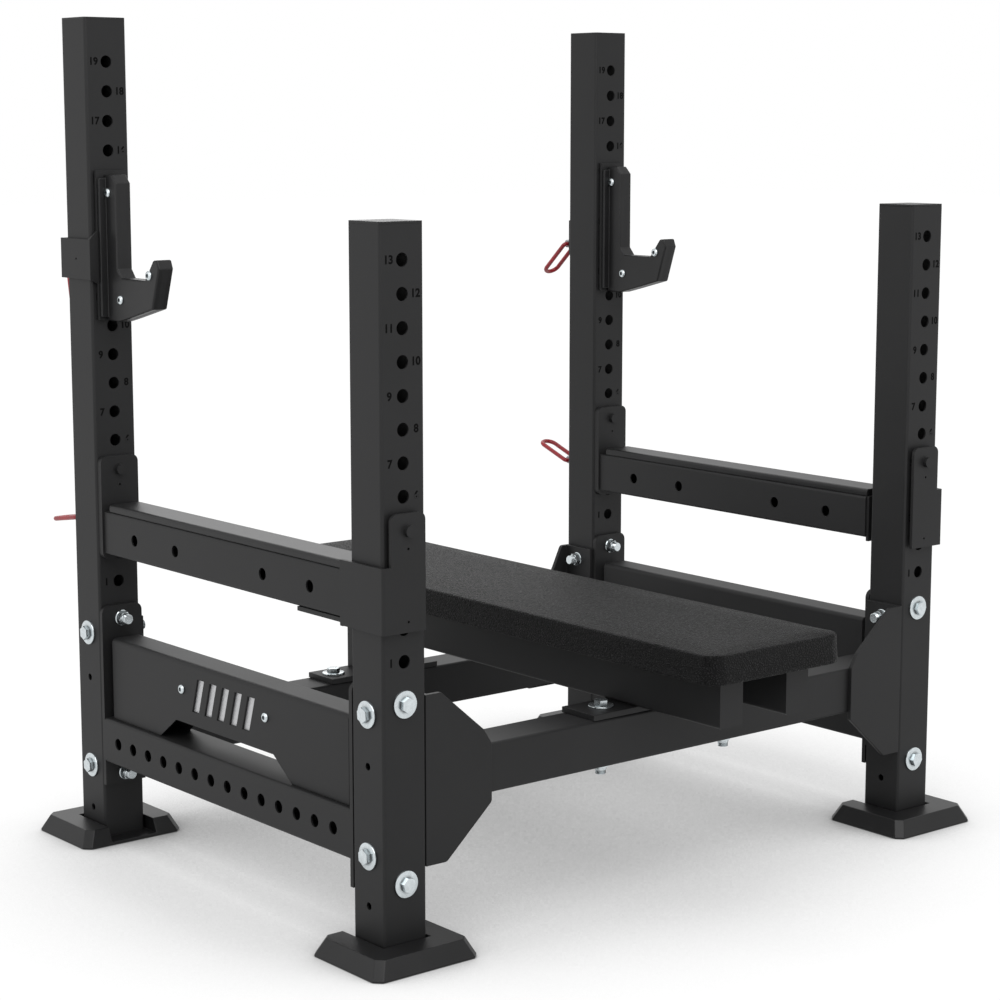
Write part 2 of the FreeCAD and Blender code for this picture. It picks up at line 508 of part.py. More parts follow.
# ---- lock pins, each with a pull loop through the eye of its grip
PINS = {"jhook": ("hook_back + side_thick", "hook_hole", "hook_plate_y - pin_in_hook", "hook_grip"),
        "arm": ("post_y + half_tube", "arm_hole", "face_y - pin_in_arm", "arm_grip")}
for kind, (seat, level, tip, grip) in PINS.items():
    for side, fx in SIDES:
        pin = Piece(f"pin_{kind}_{side}", (f"{fx} * post_x", seat, level))
        sk = pin.sketch("YZ_Plane")
        reach = f"(({seat}) - ({tip}))"
        pin.draw(sk, [(f"-{reach}", "0"), (f"-{reach}", "pin_dia / 2 - pin_lead"),
                      (f"-{reach} + pin_lead", "pin_dia / 2"), ("0", "pin_dia / 2"), ("0", "collar_dia / 2"),
                      ("collar_thick", "collar_dia / 2"), ("collar_thick", "neck_dia / 2"),
                      (f"{grip} + eye_edge", "neck_dia / 2"), (f"{grip} + eye_edge", "0")])
        turn = pin.body.newObject("PartDesign::Revolution", "Turn")
        turn.Profile = sk
        turn.ReferenceAxis = (plane(pin.body, "Y_Axis"), [""])
        turn.Angle = 360
        pin.show(sk)
        sk = pin.sketch("YZ_Plane")
        pin.ring(sk, grip, "0", "eye_dia")
        pin.cut(sk)

        loop = Piece(f"loop_{kind}_{side}", (f"{fx} * post_x", f"{seat} + {grip}", level))
        loop.body.Placement.Rotation = FreeCAD.Rotation(FreeCAD.Vector(1, 0, 0), 1)
        loop.body.setExpression("Placement.Rotation.Angle", ex(f"-droop_{kind}_{side}"))
        path = loop.sketch("XY_Plane")
        half, bend = SIZES["loop_bar"], SIZES["loop_bend"]
        side_x, far = half + bend, SIZES["loop_length"] - half - bend
        v = FreeCAD.Vector
        path.addGeometry([
            Part.LineSegment(v(-half, 0, 0), v(half, 0, 0)),
            Part.ArcOfCircle(Part.Circle(v(half, bend, 0), v(0, 0, 1), bend), -math.pi / 2, 0),
            Part.LineSegment(v(side_x, bend, 0), v(side_x, far, 0)),
            Part.ArcOfCircle(Part.Circle(v(0, far, 0), v(0, 0, 1), side_x), 0, math.pi),
            Part.LineSegment(v(-side_x, far, 0), v(-side_x, bend, 0)),
            Part.ArcOfCircle(Part.Circle(v(-half, bend, 0), v(0, 0, 1), bend), math.pi, 3 * math.pi / 2),
        ], False)
        ties = [("Horizontal", 0), ("Tangent", 0, 2, 1, 1), ("Tangent", 1, 2, 2, 1), ("Tangent", 2, 2, 3, 1),
                ("Tangent", 3, 2, 4, 1), ("Tangent", 4, 2, 5, 1), ("Tangent", 5, 2, 0, 1), ("Vertical", 2),
                ("Equal", 1, 5), ("Symmetric", 0, 1, 0, 2, -1, 1)]
        for tie in ties:
            path.addConstraint(Sketcher.Constraint(*tie))
        for tie, value in ((("DistanceX", 0, 1, 0, 2, 2 * half), "2 * loop_bar"), (("Radius", 1, bend), "loop_bend"),
                           (("DistanceY", -1, 1, 3, 3, far), "loop_length - loop_bar - loop_bend")):
            k = path.addConstraint(Sketcher.Constraint(*tie))
            path.setExpression(f"Constraints[{k}]", ex(value))
        sk = loop.sketch("YZ_Plane")
        loop.ring(sk, "0", "0", "cord_dia")
        cord = loop.body.newObject("PartDesign::AdditivePipe", "Cord")
        cord.Profile = sk
        cord.Spine = path
        loop.show(sk)
        loop.show(path)

# ---- bolts: a flanged hexagon head on one face, nut and shank end on the other
TURNS = {"+x": (FreeCAD.Vector(0, 1, 0), 90), "-x": (FreeCAD.Vector(0, 1, 0), -90),
         "+y": (FreeCAD.Vector(1, 0, 0), -90), "-y": (FreeCAD.Vector(1, 0, 0), 90),
         "+z": (FreeCAD.Vector(0, 0, 1), 0), "-z": (FreeCAD.Vector(1, 0, 0), 180)}


def solid(kind, facing, at, sizes, rise="0"):
    """Cylinder or prism that grows from a point on a face in the facing direction."""
    item = doc.addObject(f"Part::{kind}", kind)
    for name, value in sizes.items():
        if kind == "Prism" and name == "Polygon":
            item.Polygon = value
        else:
            item.setExpression(name, ex(value))
    item.Placement.Rotation = FreeCAD.Rotation(*TURNS[facing])
    x, y, z = at
    sign, letter = facing[0], facing[1]
    spot = {"x": x, "y": f"{y} + depth_shift", "z": z}
    spot[letter] = f"{spot[letter]} {sign} ({rise})"
    for axis, value in spot.items():
        item.setExpression(f"Placement.Base.{axis}", ex(value))
    return item


def joined(items):
    union = doc.addObject("Part::MultiFuse", "Joined")
    union.Shapes = items
    for item in items:
        item.Visibility = False
    return union


def head(facing, at):
    return joined([solid("Cylinder", facing, at, {"Radius": "washer_dia / 2", "Height": "washer_thick"}),
                   solid("Prism", facing, at, {"Polygon": 6, "Circumradius": "hex_across / 2",
                                               "Height": "hex_high"}, "washer_thick")])


def nut(facing, at):
    return joined([solid("Prism", facing, at, {"Polygon": 6, "Circumradius": "hex_across / 2", "Height": "nut_high"}),
                   solid("Cylinder", facing, at, {"Radius": "shank_dia / 2", "Height": "shank_end"}, "nut_high")])


def flip(sign, letter):
    return ("+" if sign > 0 else "-") + letter


groups = {"bolts_bench": [], "bolts_front": [], "bolts_rear": []}
for fx in (-1, 1):
    for end, fy in ENDS:
        group = groups[f"bolts_{end}"]
        for level in ("side_bolt_low", "side_bolt_high"):
            x = f"{fx} * post_x"
            group.append(head(flip(fy, "y"), (x, f"{fy} * (post_y + half_tube)", level)))
            group.append(nut(flip(-fy, "y"), (x, f"{fy} * plate_y", level)))
        for level in (f"{end}_bolt_low", f"{end}_bolt_high"):
            y = f"{fy} * post_y"
            group.append(head(flip(fx, "x"), (f"{fx} * (post_x + half_tube)", y, level)))
            if level != "rear_bolt_low":      # this one is threaded into the beam end, with no nut
                group.append(nut(flip(-fx, "x"), (f"{fx} * beam_half", y, level)))
        spot = f"{fx} * {end}_mount_bolt", f"{fy} * beam_y"
        groups["bolts_bench"].append(head("+z", (*spot, f"{end}_mount_low + mount_thick")))
        groups["bolts_bench"].append(nut("-z", (*spot, f"{end}_beam_low")))
for label, items in groups.items():
    group = doc.addObject("Part::Compound", label)
    group.Label = label
    group.Links = items
    pieces.append(group)

doc.recompute()
os.makedirs(OUT, exist_ok=True)
for item in doc.Objects:
    if any(word in item.State for word in ("Invalid", "Error")):
        raise RuntimeError(f"{item.Name} of {item.Label} did not build")
for piece in pieces:
    if piece.Shape.isNull() or not piece.Shape.isValid():
        raise RuntimeError(f"{piece.Label} is not a valid shape")
    piece.Shape.exportStep(f"{OUT}/{piece.Label}.step")
print(len(pieces), "pieces written")
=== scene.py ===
"""Looks of the olympic bench press: powder coat, zinc bolts, grained pad, hole numbers, screws and stage."""
import json
import math

import bmesh
import bpy
from bpy.props import FloatProperty, FloatVectorProperty, IntProperty, PointerProperty
from mathutils import Matrix, Vector


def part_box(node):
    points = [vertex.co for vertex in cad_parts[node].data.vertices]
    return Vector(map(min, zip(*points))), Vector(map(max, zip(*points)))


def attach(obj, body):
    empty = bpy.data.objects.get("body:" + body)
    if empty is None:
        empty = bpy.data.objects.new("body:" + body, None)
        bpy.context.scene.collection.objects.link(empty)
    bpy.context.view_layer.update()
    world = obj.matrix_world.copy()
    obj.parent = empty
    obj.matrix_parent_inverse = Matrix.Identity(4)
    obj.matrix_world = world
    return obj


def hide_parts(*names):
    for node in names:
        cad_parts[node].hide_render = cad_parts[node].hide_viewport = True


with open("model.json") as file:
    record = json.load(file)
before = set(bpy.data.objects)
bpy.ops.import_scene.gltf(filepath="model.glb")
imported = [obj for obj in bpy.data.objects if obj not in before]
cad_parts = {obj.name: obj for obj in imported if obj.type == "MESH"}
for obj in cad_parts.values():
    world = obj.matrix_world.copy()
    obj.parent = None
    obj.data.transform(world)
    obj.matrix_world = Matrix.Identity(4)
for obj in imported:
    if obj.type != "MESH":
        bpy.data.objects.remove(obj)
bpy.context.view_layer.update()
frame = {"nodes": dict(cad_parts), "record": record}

bl_info = {
    "name": "Bench press looks",
    "version": (1, 0, 0),
    "blender": (4, 5, 0),
    "location": "3D View > Sidebar > Bench press",
    "description": "Dresses the bench press frame with its materials, pad, fasteners, numbers and stage",
    "category": "Object",
}

OWNER = {node: body for body, nodes in frame["record"]["behaviour"]["bodies"].items() for node in nodes}
SLOTS = {part["node"]: part["material_slot"] for part in frame["record"]["subparts"]}
SIDES = (("left", -1), ("right", 1))
ENDS = ("front", "rear")
HOLES = {"front": 13, "rear": 19}       # numbered holes of an upright
FIRST_HOLE, HOLE_PITCH = 0.4664, 0.05   # height of hole 1, and from each hole to the next
FIGURE_SHIFT = 0.0245                   # from a hole's axis to the middle of its number
NUT_HEIGHT = 0.023                      # a nut with its bolt end, along the bolt
SHARP = math.radians(38)                # edges that turn more than this are eased
FLUSH = 0.0003                          # how close to a seam an edge lies in it
PAD_CORNER = 0.030                      # radius of the pad's corners
GLUED = 0.0125                          # height of the band where the cover is fixed to the board
CLOTH_FRAMES = 20
HOOK_SCREWS = ((-0.013, 0.219), (-0.143, 0.084), (-0.048, 0.038))   # from a liner's rear and bottom
PANEL_SCREWS, PANEL_SCREW_HEIGHT = (-0.126, 0.126), 0.095
PAD_SCREW_FIRST, PAD_SCREW_PITCH, PAD_SCREW_COUNT = 0.095, 0.27, 4
CAMERA_PLACE = (-2.6937, -3.2307, 1.265)
CAMERA_TILT, CAMERA_TURN = -0.1558, -0.6845


# ---------------------------------------------------------------- settings

def colour(name, text, value):
    return FloatVectorProperty(name=name, description=text, subtype="COLOR", size=3, min=0, max=1,
                               default=value)


def length(name, text, value):
    return FloatProperty(name=name, description=text, unit="LENGTH", subtype="DISTANCE", default=value, min=0)


class BenchSteel(bpy.types.PropertyGroup):
    coat: colour("Powder coat", "Colour of the coated steel", (0.0130, 0.0130, 0.0134))
    coat_grain: length("Coat grain", "Size of the grain in the powder coat", 0.0016)
    zinc: colour("Zinc", "Colour of bolts, nuts and screws", (0.64, 0.69, 0.71))
    pins: colour("Pin steel", "Colour of the lock pins", (0.20, 0.20, 0.21))
    badge: colour("Bare steel", "Colour of the plate behind the side slots", (0.62, 0.62, 0.63))
    loops: colour("Pull loops", "Colour of the loops on the lock pins", (0.40, 0.012, 0.022))
    plate_edge: length("Plate edges", "How far the edges of cut plates are eased", 0.0008)
    moulding_edge: length("Moulding edges", "How far the edges of mouldings are rounded", 0.0016)
    plastic: colour("Plastic", "Colour of feet, caps and liners", (0.0110, 0.0110, 0.0114))


class BenchPad(bpy.types.PropertyGroup):
    cover: colour("Cover", "Colour of the pad's cover", (0.0068, 0.0068, 0.0070))
    inset: length("Inset", "How much smaller than its space the pad starts", 0.0012)
    swell: length("Swell", "How far any point of the cover may move as the foam fills it", 0.0025)
    cell: length("Cell", "Cell size of the cloth", 0.011)
    pressure: FloatProperty(name="Pressure", description="How hard the foam presses on the cover",
                            default=4, min=0)
    grain: length("Leather grain", "Size of one cell of the grain", 0.0040)


class BenchFittings(bpy.types.PropertyGroup):
    screw: length("Screw head", "Diameter of the small screw heads", 0.0165)
    washer: length("Bolt flange", "Diameter of the flange under a bolt head", 0.043)
    hexagon: length("Hexagon", "Width across the flats of bolts and nuts", 0.0212)
    shank: length("Shank", "Diameter of the bolt ends", 0.018)
    figure: length("Figures", "Height of the hole numbers", 0.0125)
    seed: IntProperty(name="Seed", description="Chooses how far each fastener is turned", default=7)


class BenchStage(bpy.types.PropertyGroup):
    floor: colour("Floor", "Colour of the floor", (0.80, 0.80, 0.80))
    shade: length("Shade", "How far the soft shade of the object reaches over the floor", 0.8)
    ambient: FloatProperty(name="Ambient", description="Strength of the light from all round",
                           default=0.38, min=0)
    key: FloatProperty(name="Key light", description="Power of the large soft light",
                       default=75, min=0, unit="POWER")
    fill: FloatProperty(name="Fill light", description="Power of the fill light",
                        default=22, min=0, unit="POWER")
    lens: FloatProperty(name="Lens", description="Focal length in millimetres", default=86.68, min=10)


def looks():
    return bpy.context.scene.bench_looks


class BenchLooks(bpy.types.PropertyGroup):
    steel: PointerProperty(type=BenchSteel)
    pad: PointerProperty(type=BenchPad)
    fittings: PointerProperty(type=BenchFittings)
    stage: PointerProperty(type=BenchStage)


# ---------------------------------------------------------------- shader maths

class Val:
    """A number on a node socket; arithmetic on it adds Math nodes."""

    def __init__(self, bench, socket):
        self.bench, self.socket = bench, socket

    def calc(self, operation, *others):
        node = self.bench.node("ShaderNodeMath", {"operation": operation}, dict(enumerate((self, *others))))
        return Val(self.bench, node.outputs[0])

    def __add__(self, other):
        return self.calc("ADD", other)

    def __radd__(self, other):
        return self.calc("ADD", other)

    def __sub__(self, other):
        return self.calc("SUBTRACT", other)

    def __rsub__(self, other):
        return Val(self.bench, self.bench.value_minus(other, self))

    def __mul__(self, other):
        return self.calc("MULTIPLY", other)

    def __rmul__(self, other):
        return self.calc("MULTIPLY", other)

    def step(self, low, high):
        """Smooth step from 0 at low to 1 at high."""
        node = self.bench.node("ShaderNodeMapRange", {"interpolation_type": "SMOOTHSTEP"},
                               {0: self, 1: low, 2: high, 3: 0.0, 4: 1.0})
        return Val(self.bench, node.outputs[0])


class Finish:
    """One material and the nodes that make it."""

    def __init__(self, name):
        self.material = bpy.data.materials.new(name)
        self.material.use_nodes = True
        self.tree = self.material.node_tree
        self.tree.nodes.clear()
        self.out = self.node("ShaderNodeOutputMaterial")
        self.skin = self.node("ShaderNodeBsdfPrincipled")
        self.tree.links.new(self.skin.outputs[0], self.out.inputs["Surface"])
        self.place = self.node("ShaderNodeTexCoord").outputs["Object"]

    @classmethod
    def on_tree(cls, tree):
        """The same node making on a tree that is no material's, such as the world's."""
        bench = cls.__new__(cls)
        bench.tree = tree
        return bench

    def node(self, kind, settings=None, sockets=None):
        node = self.tree.nodes.new(kind)
        for key, value in (settings or {}).items():
            setattr(node, key, value)
        for key, value in (sockets or {}).items():
            if isinstance(value, Val):
                value = value.socket
            if isinstance(value, bpy.types.NodeSocket):
                self.tree.links.new(value, node.inputs[key])
            else:
                node.inputs[key].default_value = value
        return node

    def value_minus(self, number, val):
        return self.node("ShaderNodeMath", {"operation": "SUBTRACT"}, {0: number, 1: val}).outputs[0]

    def noise(self, size, detail=2.0, stretch=(1, 1, 1), roughness=0.5):
        place = self.node("ShaderNodeMapping", {}, {"Vector": self.place, "Scale": stretch}).outputs[0]
        node = self.node("ShaderNodeTexNoise", {"normalize": True},
                         {"Vector": place, "Scale": 1 / size, "Detail": detail, "Roughness": roughness})
        return Val(self, node.outputs[0])

    def cells(self, size, feature="F1"):
        node = self.node("ShaderNodeTexVoronoi", {"feature": feature},
                         {"Vector": self.place, "Scale": 1 / size})
        return Val(self, node.outputs["Distance"])

    def blend(self, mask, low, high):
        node = self.node("ShaderNodeMix", {"data_type": "RGBA"},
                         {"Factor": mask, 6: (*low, 1), 7: (*high, 1)})
        return node.outputs[2]

    def bump(self, height, strength, distance, under=None):
        sockets = {"Height": height, "Strength": strength, "Distance": distance}
        if under is not None:
            sockets["Normal"] = under
        return self.node("ShaderNodeBump", {}, sockets).outputs[0]

    def set(self, **values):
        for key, value in values.items():
            socket = self.skin.inputs[key.replace("_", " ")]
            if isinstance(value, Val):
                value = value.socket
            if isinstance(value, bpy.types.NodeSocket):
                self.tree.links.new(value, socket)
            else:
                socket.default_value = value
        return self.material


def seen_rays(bench):
    """1 for rays from the camera, off gloss or through glass, 0 for the light that falls on things."""
    path = bench.node("ShaderNodeLightPath")
    seen = Val(bench, path.outputs["Is Camera Ray"])
    for ray in ("Is Glossy Ray", "Is Transmission Ray"):
        seen = seen.calc("MAXIMUM", Val(bench, path.outputs[ray]))
    return seen


def shade(rgb, factor):
    return tuple(min(1.0, c * factor) for c in rgb)


def powder_coat():
    steel = looks().steel
    f = Finish("black_powder_coat")
    base = tuple(steel.coat)
    grain = f.cells(steel.coat_grain)
    fine = f.noise(steel.coat_grain * 0.55, 2)
    cloud = f.noise(0.16, 3)
    scuff = f.noise(0.012, 5, (1, 1, 0.25), 0.7).step(0.66, 0.82) * f.noise(0.09, 2).step(0.52, 0.70)
    tone = f.blend(cloud.step(0.3, 0.7) * 0.6 + fine * 0.4, shade(base, 0.82), shade(base, 1.22))
    worn = f.node("ShaderNodeMix", {"data_type": "RGBA"},
                  {"Factor": scuff * 0.30, 6: tone, 7: (*shade(base, 2.6), 1)})
    rough = 0.44 + cloud * 0.08 + fine * 0.08 - scuff * 0.08
    bump = f.bump(grain * 0.7 + fine * 0.5, 0.35, 0.00022)
    return f.set(Base_Color=worn.outputs[2], Roughness=rough, Normal=bump, Specular_IOR_Level=0.30)


def zinc_plate():
    steel = looks().steel
    f = Finish("zinc_plate")
    base = tuple(steel.zinc)
    cloud = f.noise(0.006, 3)
    fine = f.noise(0.0007, 2, (1, 1, 3))
    tint = f.blend(cloud.step(0.35, 0.7), shade(base, 0.94), shade(base, 1.05))
    # Painted shade: the zinc darkens to 0.22 of its colour where ambient occlusion finds a nearby surface,
    # round the hexagon's foot and on the flange, except on faces that look up, which stay lit.
    painted_shade_ao = f.node("ShaderNodeAmbientOcclusion", {"samples": 8}, {"Distance": 0.014})
    up = f.node("ShaderNodeSeparateXYZ", {}, {"Vector": f.node("ShaderNodeNewGeometry").outputs["Normal"]})
    # edge is the painted light mask: 1 keeps the zinc colour, 0 paints it in shade.
    edge = Val(f, painted_shade_ao.outputs["AO"]).step(0.50, 0.92) + Val(f, up.outputs["Z"]).step(0.3, 0.8)
    both = f.node("ShaderNodeMix", {"data_type": "RGBA"},
                  {"Factor": edge, 6: (*shade(base, 0.22), 1), 7: tint})
    bump = f.bump(fine, 0.04, 0.0001)
    return f.set(Base_Color=both.outputs[2], Metallic=0.9, Roughness=0.17 + cloud * 0.06, Normal=bump)


def pin_steel():
    steel = looks().steel
    f = Finish("turned_pin_steel")
    base = tuple(steel.pins)
    rings = f.noise(0.0012, 2, (0.1, 6, 0.1))
    cloud = f.noise(0.02, 3)
    tint = f.blend(cloud, shade(base, 0.75), shade(base, 1.25))
    bump = f.bump(rings, 0.15, 0.0001)
    return f.set(Base_Color=tint, Metallic=0.9, Roughness=0.30 + cloud * 0.15, Normal=bump)


def badge_steel():
    steel = looks().steel
    f = Finish("brushed_badge_steel")
    base = tuple(steel.badge)
    brush = f.noise(0.0009, 3, (1, 0.03, 1))
    tint = f.blend(brush, shade(base, 0.86), shade(base, 1.1))
    bump = f.bump(brush, 0.10, 0.00012)
    return f.set(Base_Color=tint, Metallic=0.55, Roughness=0.34 + brush * 0.14, Normal=bump)


def moulded_plastic():
    steel = looks().steel
    f = Finish("moulded_black_plastic")
    base = tuple(steel.plastic)
    grain = f.noise(0.0009, 2)
    cloud = f.noise(0.08, 3)
    tint = f.blend(cloud.step(0.3, 0.7), shade(base, 0.85), shade(base, 1.2))
    bump = f.bump(grain, 0.22, 0.00018)
    return f.set(Base_Color=tint, Roughness=0.36 + grain * 0.10, Normal=bump, Specular_IOR_Level=0.30)


def dipped_loop():
    steel = looks().steel
    f = Finish("dipped_red_loop")
    base = tuple(steel.loops)
    cloud = f.noise(0.03, 3)
    grain = f.noise(0.0012, 2)
    tint = f.blend(cloud.step(0.3, 0.7), shade(base, 0.82), shade(base, 1.2))
    bump = f.bump(grain, 0.10, 0.0002)
    return f.set(Base_Color=tint, Roughness=0.34 + cloud * 0.12, Normal=bump, Coat_Weight=0.15)


def pad_cover():
    pad = looks().pad
    f = Finish("grained_black_cover")
    base = tuple(pad.cover)
    cell = f.cells(pad.grain, "DISTANCE_TO_EDGE")
    small = f.cells(pad.grain * 0.5)
    vein = cell.step(0.0, 0.30)
    pore = f.noise(pad.grain * 0.22, 2)
    lump = f.noise(pad.grain * 1.6, 3)
    crease = f.noise(0.03, 4, (1, 0.6, 1), 0.6)
    cloud = f.noise(0.22, 2)
    # Partly painted: besides a random mottle, the tone follows the grain, darker at the cell edges and up to
    # twice the cover colour in their middles, painting the grain's shade and sparkle into the colour.
    mottle_and_painted_sparkle = vein * 0.45 + lump * 0.25 + cloud * 0.15 + pore * 0.15
    tone = f.blend(mottle_and_painted_sparkle, shade(base, 0.15), shade(base, 2.1))
    rough = 0.50 - vein * 0.16 + pore * 0.08 + cloud * 0.04
    soft = f.bump(crease, 0.20, 0.0010)
    bump = f.bump(vein * 0.8 + lump * 0.8 + small * 0.35 + pore * 0.15, 1.0, 0.0038, soft)
    return f.set(Base_Color=tone, Roughness=rough, Normal=bump, Specular_IOR_Level=0.15)


def bench_board():
    f = Finish("board_ply")
    rings = f.noise(0.004, 4, (1, 0.06, 1))
    tint = f.blend(rings, (0.004, 0.004, 0.004), (0.010, 0.010, 0.009))
    return f.set(Base_Color=tint, Roughness=0.7 + rings * 0.1, Normal=f.bump(rings, 0.2, 0.0003))


def cut_mark():
    """Near-black painted shade for the dark inside of a figure cut through the steel, laid on the face as a
    thin sheet.
    """
    f = Finish("cut_figure_painted_shade")
    deep = f.noise(0.002, 2)
    return f.set(Base_Color=f.blend(deep, (0.0015, 0.0015, 0.0015), (0.004, 0.004, 0.004)), Roughness=0.9,
                 Specular_IOR_Level=0.1)


MAKERS = {
    "powder_coat": powder_coat, "zinc": zinc_plate, "pin_steel": pin_steel, "bare_steel": badge_steel,
    "black_plastic": moulded_plastic, "red_cord": dipped_loop, "leather": pad_cover, "board": bench_board,
    "cut_mark": cut_mark,
}
made = {}


def finish_of(slot):
    if slot not in made:
        made[slot] = MAKERS[slot]()
    return made[slot]


# ---------------------------------------------------------------- mesh helpers

def put(name, data):
    """A new object on the scene that holds a mesh, curve, lamp or camera."""
    obj = bpy.data.objects.new(name, data)
    bpy.context.scene.collection.objects.link(obj)
    return obj


def piece(name, mesh, body, slot, stands_for=()):
    obj = put(name, mesh)
    if not mesh.materials:
        mesh.materials.append(finish_of(slot))
    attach(obj, body)
    if stands_for:
        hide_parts(*stands_for)
    return obj


def baked(obj, name):
    """The evaluated mesh of an object, as a plain mesh; the object is removed."""
    bpy.context.view_layer.update()
    graph = bpy.context.evaluated_depsgraph_get()
    mesh = bpy.data.meshes.new_from_object(obj.evaluated_get(graph), preserve_all_data_layers=True,
                                           depsgraph=graph)
    mesh.name = name
    bpy.data.objects.remove(obj, do_unlink=True)
    return mesh


def turned(profile, sides):
    """Closed solid of revolution about Z from (radius, height) points that start and end on the axis."""
    bm = bmesh.new()
    rings = []
    for radius, height in profile:
        if radius < 1e-7:
            rings.append([bm.verts.new((0, 0, height))])
        else:
            angles = [2 * math.pi * i / sides for i in range(sides)]
            rings.append([bm.verts.new((radius * math.cos(a), radius * math.sin(a), height)) for a in angles])
    for low, high in zip(rings, rings[1:]):
        for i in range(sides):
            j = (i + 1) % sides
            if len(low) == 1:
                bm.faces.new((low[0], high[j], high[i]))
            elif len(high) == 1:
                bm.faces.new((low[i], low[j], high[0]))
            else:
                bm.faces.new((low[i], low[j], high[j], high[i]))
    bmesh.ops.recalc_face_normals(bm, faces=bm.faces)
    return bm


def joined(name, solids, smooth=35):
    """One mesh from several closed solids."""
    mesh = bpy.data.meshes.new(name)
    whole = bmesh.new()
    for bm in solids:
        part = bpy.data.meshes.new("part")
        bm.to_mesh(part)
        bm.free()
        whole.from_mesh(part)
        bpy.data.meshes.remove(part)
    whole.to_mesh(mesh)
    whole.free()
    for face in mesh.polygons:
        face.use_smooth = True
    mesh.set_sharp_from_angle(angle=math.radians(smooth))
    return mesh


def hexagon(flat, low, high, chamfer):
    """Hexagonal head with its corners turned off at the top."""
    r = flat / 2 / math.cos(math.pi / 6)
    bm = turned([(0, low), (r, low), (r, high - chamfer * 0.45), (flat / 2 * 0.96, high), (0, high)], 6)
    return bm


def scatter(name, spots, shape, body, slot, stands_for=(), seed=None):
    """Copies of a shape at (place, facing) spots, each turned about its own axis by a seeded amount."""
    spots_mesh = bpy.data.meshes.new(name + "_spots")
    spots_mesh.from_pydata([tuple(p) for p, _ in spots], [], [])
    facing = spots_mesh.attributes.new("facing", "FLOAT_VECTOR", "POINT")
    for i, (_, direction) in enumerate(spots):
        facing.data[i].vector = direction
    holder = put(name, spots_mesh)
    shape.materials.clear()
    master = put(name + "_master", shape)

    tree = bpy.data.node_groups.new(name + "_tree", "GeometryNodeTree")
    face = tree.interface
    face.new_socket(name="Geometry", in_out="INPUT", socket_type="NodeSocketGeometry")
    fastener = face.new_socket(name="Fastener", in_out="INPUT", socket_type="NodeSocketObject")
    turn = face.new_socket(name="Largest turn", in_out="INPUT", socket_type="NodeSocketFloat")
    seed_in = face.new_socket(name="Seed", in_out="INPUT", socket_type="NodeSocketInt")
    face.new_socket(name="Geometry", in_out="OUTPUT", socket_type="NodeSocketGeometry")
    new, link = tree.nodes.new, tree.links.new
    start, end = new("NodeGroupInput"), new("NodeGroupOutput")
    info = new("GeometryNodeObjectInfo")
    named = new("GeometryNodeInputNamedAttribute")
    named.data_type = "FLOAT_VECTOR"
    named.inputs["Name"].default_value = "facing"
    aim = new("FunctionNodeAlignRotationToVector")
    aim.axis = "Z"
    chance = new("FunctionNodeRandomValue")
    chance.data_type = "FLOAT"
    spin = new("FunctionNodeAxisAngleToRotation")
    both = new("FunctionNodeRotateRotation")
    both.rotation_space = "LOCAL"
    copies, real, paint = (new("GeometryNodeInstanceOnPoints"), new("GeometryNodeRealizeInstances"),
                           new("GeometryNodeSetMaterial"))
    paint.inputs["Material"].default_value = finish_of(slot)
    link(start.outputs["Fastener"], info.inputs["Object"])
    link(named.outputs["Attribute"], aim.inputs["Vector"])
    link(start.outputs["Largest turn"], chance.inputs[3])
    link(start.outputs["Seed"], chance.inputs["Seed"])
    link(chance.outputs[1], spin.inputs["Angle"])
    link(aim.outputs[0], both.inputs[0])
    link(spin.outputs[0], both.inputs[1])
    link(start.outputs["Geometry"], copies.inputs["Points"])
    link(info.outputs["Geometry"], copies.inputs["Instance"])
    link(both.outputs[0], copies.inputs["Rotation"])
    link(copies.outputs[0], real.inputs[0])
    link(real.outputs[0], paint.inputs["Geometry"])
    link(paint.outputs[0], end.inputs["Geometry"])

    modifier = holder.modifiers.new("Copies", "NODES")
    modifier.node_group = tree
    modifier[fastener.identifier] = master
    modifier[turn.identifier] = math.pi / 3
    modifier[seed_in.identifier] = looks().fittings.seed if seed is None else seed
    mesh = baked(holder, name)
    bpy.data.objects.remove(master, do_unlink=True)
    return piece(name, mesh, body, slot, stands_for)


def eased(node, width, name, seams=()):
    """The CAD node's shape with its sharp edges eased and its curved faces smooth, in the node's place.

    Edges that lie in a seam, a plane of X where the piece meets its neighbour flush, stay sharp.
    """
    bm = bmesh.new()
    bm.from_mesh(frame["nodes"][node].data)
    bmesh.ops.remove_doubles(bm, verts=bm.verts, dist=2e-6)
    bmesh.ops.dissolve_limit(bm, angle_limit=math.radians(0.3), verts=bm.verts, edges=bm.edges)
    weight = bm.edges.layers.float.new("bevel_weight_edge")
    for edge in bm.edges:
        flush = any(all(abs(v.co.x - x) < FLUSH for v in edge.verts) for x in seams)
        sharp = edge.is_manifold and edge.calc_face_angle() > SHARP
        edge[weight] = 1.0 if sharp and not flush else 0.0
        edge.smooth = not (sharp and flush)
    for face in bm.faces:
        face.smooth = True
    mesh = bpy.data.meshes.new(name)
    bm.to_mesh(mesh)
    bm.free()
    obj = put(name, mesh)
    ease = obj.modifiers.new("Eased edges", "BEVEL")
    ease.limit_method, ease.width, ease.segments = "WEIGHT", width, 2
    ease.use_clamp_overlap = True
    flat = obj.modifiers.new("Flat faces", "WEIGHTED_NORMAL")
    flat.mode, flat.weight, flat.keep_sharp = "FACE_AREA", 80, True
    mesh = baked(obj, name)
    return piece(name, mesh, OWNER[node], SLOTS[node], [node])


def middle(node):
    low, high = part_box(node)
    return (low + high) / 2


# ---------------------------------------------------------------- pieces

class BENCH_OT_coat_frame(bpy.types.Operator):
    """Gives every steel and plastic piece of the frame its finish"""
    bl_idname = "bench.coat_frame"
    bl_label = "Coat frame"

    def execute(self, context):
        for name, obj in frame["nodes"].items():
            obj.data.materials.clear()
            obj.data.materials.append(finish_of(SLOTS[name]))
        return {"FINISHED"}


